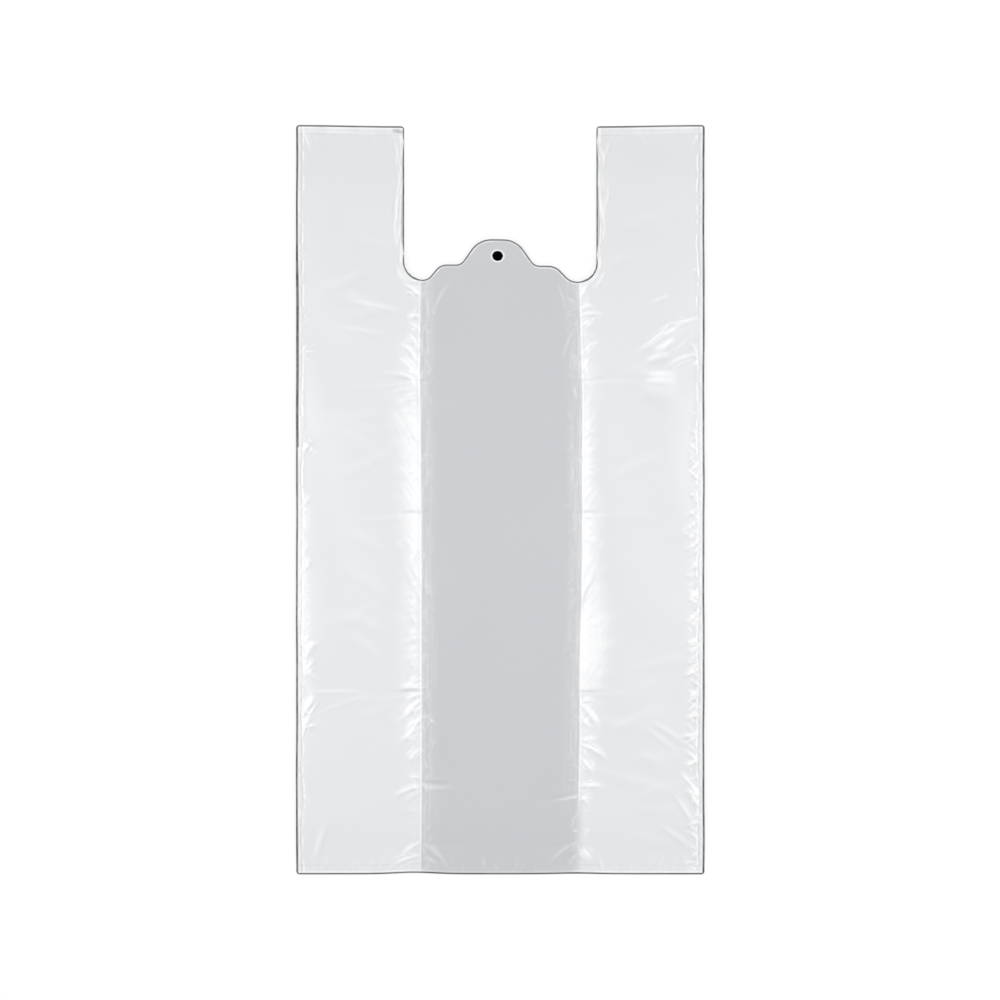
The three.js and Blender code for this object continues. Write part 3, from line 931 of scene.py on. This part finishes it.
# Colours of the film: two layers in the middle, four at the sides, its painted highlights, its painted
# shade and blotches, and the painted dark line at its edges.
MIDDLE_COLOUR = (0.585, 0.592, 0.612, 1)
SIDE_COLOUR = (0.785, 0.792, 0.806, 1)
HANDLE_COLOUR = (0.775, 0.781, 0.795, 1)
HIGHLIGHT_COLOUR = (0.955, 0.958, 0.966, 1)
SHADE_AND_BLOTCH_COLOUR = (0.54, 0.545, 0.565, 1)
EDGE_SHADE_COLOUR = (0.065, 0.066, 0.070, 1)
BRIGHTEST = 0.97
DULLEST = 0.9
SHINIEST = 0.20
ROUGHEST = 0.265
FILM_IOR = 1.54
BUMP_STRENGTH = 0.6
BUMP_DISTANCE = 0.0004
EVENLY = (1, 1, 1)


class FilmNodes(Nodes):
    """The nodes of the film. Distances to its lines are in millimetres, and places on it in metres."""

    def __init__(self, tree):
        super().__init__(tree)
        self.find_places()
        self.make_noises()
        self.find_parts()

    def find_places(self):
        """Where a point lies, also mirrored to the bag's right half, and what the mesh says of it."""
        self.place = self.add("ShaderNodeTexCoord").outputs["Object"]
        axes = self.add("ShaderNodeSeparateXYZ", {0: self.place})
        self.across = axes.outputs["X"]
        self.up = axes.outputs["Y"]
        mirrored = {"X": self.math("ABSOLUTE", self.across), "Y": self.up}
        self.mirrored = self.add("ShaderNodeCombineXYZ", mirrored).outputs[0]
        facts = [self.fact(name) for name in Film.FACTS]
        self.outer, self.hem, self.cut, self.lip, self.fold, self.white, self.shiny, self.hole = facts

    def make_noises(self):
        """The film's unevenness at each scale. The turned noises lean the same way on both sides."""
        self.uneven = self.noise(self.place, EVENLY, 16, 3)
        self.dashed = self.noise(self.place, (5, 1, 1), 130, 2, 0.6)
        self.broken = self.noise(self.place, (1, 5, 1), 70, 2, 0.6)
        self.wander = self.noise(self.place, (5, 1, 1), 34, 2)
        self.streaks = self.noise(self.place, (1, 16, 1), 520, 2)
        self.feather = self.noise(self.mirrored, (7, 1, 1), 330, 3, 0.6, 58)
        self.crinkle = self.noise(self.mirrored, (4, 1, 1), 300, 3, 0.6, 112)
        self.hooks = self.noise(self.mirrored, (4, 1, 1), 420, 3, 0.65, 145)
        self.slopes = self.noise(self.mirrored, (5, 1, 1), 300, 3, 0.6, 215)
        self.patches = self.noise(self.place, EVENLY, 38, 2)
        self.fine = self.noise(self.place, (1, 2, 1), 420, 3, 0.6)

    def find_parts(self):
        """The parts of the bag with looks of their own. The right fold is soft near the bottom."""
        self.rightwards = self.span(self.across, -0.01, 0.01)
        self.crisp = self.inverse(self.times(self.rightwards, self.span(self.up, -0.205, -0.235)))
        crisp_side = self.times(self.span(self.fold, -0.35, 0.35), self.crisp)
        soft_side = self.times(self.span(self.fold, -4, 7), self.inverse(self.crisp))
        self.on_side = self.sum(crisp_side, soft_side)
        self.below_mouth = self.span(self.up, 0.17, 0.155)
        in_middle = self.span(self.on_side, 0, 1, 1, 0)
        self.near_fold = self.times(self.span(self.fold, -15, -1.5), in_middle, self.below_mouth)
        self.drifting = self.sum(self.outer, self.span(self.wander, 0.2, 0.8, -1.1, 1.1))
        along_edge = self.times(self.stripe(self.outer, 7.5, 7.5), self.span(self.up, 0.085, 0.045))
        self.crowded = self.times(along_edge, self.span(self.patches, 0.42, 0.58, 0.15, 1))
        # The crinkles along the right edge get painted highlights and painted shade as well as bumps.
        hooked = self.largest(self.span(self.hooks, 0.54, 0.64), self.span(self.slopes, 0.55, 0.66))
        self.crinkles = self.times(self.crowded, hooked, self.span(self.rightwards, 0, 1, 0.35, 0.95))


def layer_tone(n):
    """The tone of two layers in the middle and four at the sides."""
    side = n.mixed(n.span(n.up, 0.11, 0.19), SIDE_COLOUR, HANDLE_COLOUR)
    return n.mixed(n.on_side, MIDDLE_COLOUR, side)


def painted_sheen_bands(n):
    """The painted reflection bands beside the folds, feathered and combed."""
    ruffled = n.times(n.span(n.feather, 0.3, 0.7, -0.18, 0.12), n.span(n.shiny, 0, 0.4))
    feathered = n.largest(n.sum(n.shiny, ruffled), 0)
    fine_comb = n.span(n.streaks, 0.3, 0.6, 0.84, 1)
    combed = n.times(fine_comb, n.span(n.feather, 0.3, 0.5, 0.76, 1))
    return n.times(feathered, n.on_side, combed)


def painted_highlights(n, tone):
    """Painted highlights along folds, creases, welds, cut edges and round the hole, where the glossy film
    would catch the lamps.
    """
    fold_line = n.broken_line(n.fold, 0.8, 1, n.dashed, 0.25, 0.6, 0.95, 0.45)
    fading = n.times(n.below_mouth, n.crisp, n.span(n.up, -0.268, -0.24, 0.45, 1))
    long_wisps = n.span(n.streaks, 0.42, 0.7, 0.04, 0.22)
    wisps = n.largest(long_wisps, n.span(n.crinkle, 0.52, 0.72, 0, 0.3))
    inside = n.times(n.near_fold, wisps, n.span(n.crisp, 0, 1, 0.35, 1))
    creases = n.times(n.largest(n.white, 0), n.span(n.fold, -6, 3, 0.32, 0.95))
    rim = n.broken_line(n.outer, 2.3, 1, n.dashed, 0.3, 0.55, 0.95, 0.4)
    dashes = n.broken_line(n.drifting, 5.4, 1, n.dashed, 0.43, 0.56, 0.1, 0.95)
    hem_line = n.broken_line(n.hem, 1.95, 0.9, n.broken, 0.3, 0.6, 0.45, 1)
    hems = n.times(hem_line, n.span(n.fold, -8, 14, 0.35, 0.9))
    at_top = n.times(n.span(n.hem, 6.4, 5.2), n.span(n.up, 0.262, 0.266))
    top_weld = n.times(at_top, n.span(n.broken, 0.3, 0.7, 0.02, 0.3))
    mouth = n.broken_line(n.cut, 1.6, 0.8, n.dashed, 0.35, 0.6, 0.85, 0.25)
    lip = n.broken_line(n.lip, 0.7, 1.15, n.dashed, 0.35, 0.6, 1, 0.35)
    halo = n.times(n.stripe(n.hole, 0.5, 0.9), 0.85)
    folds = n.sum(painted_sheen_bands(n), n.times(fold_line, fading), inside, creases)
    bright = n.sum(folds, rim, dashes, n.crinkles, hems, top_weld, mouth, lip, halo)
    return n.mixed(n.math("MINIMUM", bright, BRIGHTEST), tone, HIGHLIGHT_COLOUR)


def painted_shade_and_blotches(n, tone):
    """Painted shade in the valleys beside creases, in crinkles, between the lines of the edges and along
    the outer edges, a grey line along the welds, and blotches of uneven tone.
    """
    valleys = n.times(n.largest(n.times(n.white, -1), 0), 0.8)
    gaps = n.broken_line(n.drifting, 3.9, 0.8, n.dashed, 0.35, 0.6, 0.1, 0.5)
    welds = n.broken_line(n.hem, 6.7, 1, n.broken, 0.3, 0.6, 0.24, 0.06)
    dents = n.times(n.near_fold, n.span(n.crinkle, 0.48, 0.3, 0, 0.16))
    creeks = n.times(n.crowded, n.span(n.hooks, 0.46, 0.36), n.span(n.rightwards, 0, 1, 0.08, 0.22))
    soft_edge = n.times(n.span(n.outer, 2.4, 1), n.span(n.wander, 0.4, 0.62, 0, 0.8))
    # The blotches are the film's own uneven tone.
    blotches = n.span(n.uneven, 0.35, 0.75, 0, 0.05)
    dull = n.sum(valleys, gaps, welds, dents, creeks, soft_edge, blotches)
    return n.mixed(n.math("MINIMUM", dull, DULLEST), tone, SHADE_AND_BLOTCH_COLOUR)


def painted_edge_shade(n, tone):
    """Painted shade: a thin dark line along every edge, where the folded and cut film turns away from the
    light, heavier down part of the left one.
    """
    from_mouth = n.times(n.inverse(n.rightwards), n.span(n.up, 0.205, 0.15))
    heavy = n.times(from_mouth, n.span(n.up, 0.037, 0.04))
    outer = n.math("DIVIDE", n.outer, n.span(heavy, 0, 1, 1, 1.55))
    at_edge = n.largest(n.span(outer, 1.6, 1), n.span(n.hem, 1.35, 0.8), n.span(n.cut, 1.15, 0.65))
    return n.mixed(n.times(at_edge, n.span(n.dashed, 0.3, 0.65, 1, 0.86)), tone, EDGE_SHADE_COLOUR)


def relief(n):
    """The normal of the crinkled gloss, which is roughest beside the folds."""
    at_fold = n.span(n.math("ABSOLUTE", n.fold), 18, 2)
    at_lines = n.largest(n.span(n.outer, 16, 3), at_fold)
    grain = n.times(n.math("SUBTRACT", n.fine, 0.5), n.span(at_lines, 0, 1, 0.05, 0.5))
    height = n.sum(grain, n.times(n.streaks, 0.08), n.times(n.crinkles, 0.4))
    inputs = {"Strength": BUMP_STRENGTH, "Distance": BUMP_DISTANCE, "Height": height}
    return n.add("ShaderNodeBump", inputs).outputs["Normal"]


def film_material():
    """Thin milky film: tone by the number of layers, painted highlights on folds and creases, painted shade
    beside them, a painted dark line along the edges and crinkled gloss.
    """
    material, n = new_material("milky_film", FilmNodes)
    inputs = {
        "Base Color": painted_edge_shade(n, painted_shade_and_blotches(n, painted_highlights(n, layer_tone(n)))),
        "Roughness": n.span(n.uneven, 0.3, 0.7, SHINIEST, ROUGHEST),
        "Normal": relief(n),
        "IOR": FILM_IOR,
    }
    n.end_with(n.add("ShaderNodeBsdfPrincipled", inputs).outputs["BSDF"])
    return material


# The stage, in metres, but for the camera's sensor.
FLOOR_RADIUS = 30
FLOOR_SIDES = 96
FLOOR_Z = -0.0004
FLOOR_GLOW = 0.75
FLOOR_LIT = (0.26, 0.26, 0.26, 1)
FLOOR_BOUNCE = (0.8, 0.8, 0.8, 1)
BACKING_RADIUS = 0.0085
BACKING_SIDES = 48
BACKING_Z = -0.0002
BACKING_DARK = (0.001, 0.001, 0.001, 1)
BACKING_LIGHT = (0.003, 0.003, 0.003, 1)
CAMERA_PLACE = (-0.00019, -0.00021, 6.0)
CAMERA_FAR = 100
SENSOR = 36
VIEW_WIDTH = 0.7339
SKY_COLOUR = (1, 1, 1, 1)
SKY_FILL = 0.5
# Long soft lamps at both sides, the head and the foot of the bag: name, place, size, power.
LAMPS = (
    ("left_strip", (-0.95, 0.0, 1.25), (0.18, 1.7), 7.1),
    ("right_strip", (0.95, 0.0, 1.25), (0.18, 1.7), 7.1),
    ("head_strip", (-0.1, 1.15, 1.35), (1.4, 0.2), 3.6),
    ("foot_strip", (0.1, -1.3, 1.35), (1.4, 0.2), 3.4),
)


def floor_material():
    """White to the eye, with the bag's shadow kept: part shines on its own and part is lit."""
    material, n = new_material("white_floor")
    path = n.add("ShaderNodeLightPath").outputs
    seen = n.largest(*(path[f"Is {kind} Ray"] for kind in ("Camera", "Glossy", "Transmission")))
    glow = n.add("ShaderNodeEmission", {"Strength": n.times(seen, FLOOR_GLOW)})
    lit = n.add("ShaderNodeBsdfDiffuse", {"Color": n.mixed(seen, FLOOR_BOUNCE, FLOOR_LIT)})
    both = n.add("ShaderNodeAddShader", {0: glow.outputs[0], 1: lit.outputs[0]})
    n.end_with(both.outputs[0])
    return material


def backing_material():
    """The dark backing that the photograph shows through the hanging hole."""
    material, n = new_material("dark_backing")
    place = n.add("ShaderNodeTexCoord").outputs["Object"]
    mottled = n.mixed(n.noise(place, EVENLY, 300.0), BACKING_DARK, BACKING_LIGHT)
    n.end_with(n.add("ShaderNodeBsdfDiffuse", {"Color": mottled}).outputs[0])
    return material


def linked(name, data):
    """A new object in the scene."""
    made = bpy.data.objects.new(name, data)
    bpy.context.scene.collection.objects.link(made)
    return made


def disc(name, radius, centre, sides):
    """A flat round sheet facing up, in metres."""
    x, y, z = centre
    mesh = bpy.data.meshes.new(name)
    turns = [2 * math.pi * k / sides for k in range(sides)]
    points = [(x + radius * math.cos(a), y + radius * math.sin(a), z) for a in turns]
    mesh.from_pydata(points, [], [tuple(range(sides))])
    return linked(name, mesh)


def build_stage():
    """Floor, dark backing under the tab, world, lamps and camera."""
    floor = disc("floor", FLOOR_RADIUS, (0, 0, FLOOR_Z), FLOOR_SIDES)
    floor.data.materials.append(floor_material())
    hole_x, hole_y = laid(np.array(0.0), np.array(HOLE_Y))
    hole_place = (float(hole_x) * MM, float(hole_y) * MM, BACKING_Z)
    backing = disc("dark_backing", BACKING_RADIUS, hole_place, BACKING_SIDES)
    backing.data.materials.append(backing_material())

    world = bpy.data.worlds.new("studio")
    bpy.context.scene.world = world
    world.use_nodes = True
    n = Nodes(world.node_tree)
    camera_ray = n.add("ShaderNodeLightPath").outputs["Is Camera Ray"]
    strength = n.largest(camera_ray, SKY_FILL)
    sky = n.add("ShaderNodeBackground", {"Color": SKY_COLOUR, "Strength": strength})
    n.end_with(sky.outputs[0], "ShaderNodeOutputWorld")

    for name, place, size, power in LAMPS:
        lamp = bpy.data.lights.new(name, "AREA")
        lamp.shape = "RECTANGLE"
        lamp.size, lamp.size_y = size
        lamp.energy = power
        holder = linked(name, lamp)
        holder.location = place
        holder.rotation_euler = (-holder.location).to_track_quat("-Z", "Y").to_euler()

    camera = linked("camera", bpy.data.cameras.new("camera"))
    camera.location = CAMERA_PLACE
    camera.data.sensor_width = SENSOR
    camera.data.lens = SENSOR * CAMERA_PLACE[2] / VIEW_WIDTH
    camera.data.clip_end = CAMERA_FAR
    bpy.context.scene.camera = camera


bpy.context.scene.view_settings.view_transform = "Standard"
build_stage()
bag = linked("carrier_bag_film", film_mesh())
bag.data.materials.append(film_material())
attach(bag, "root")
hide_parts(NODE)
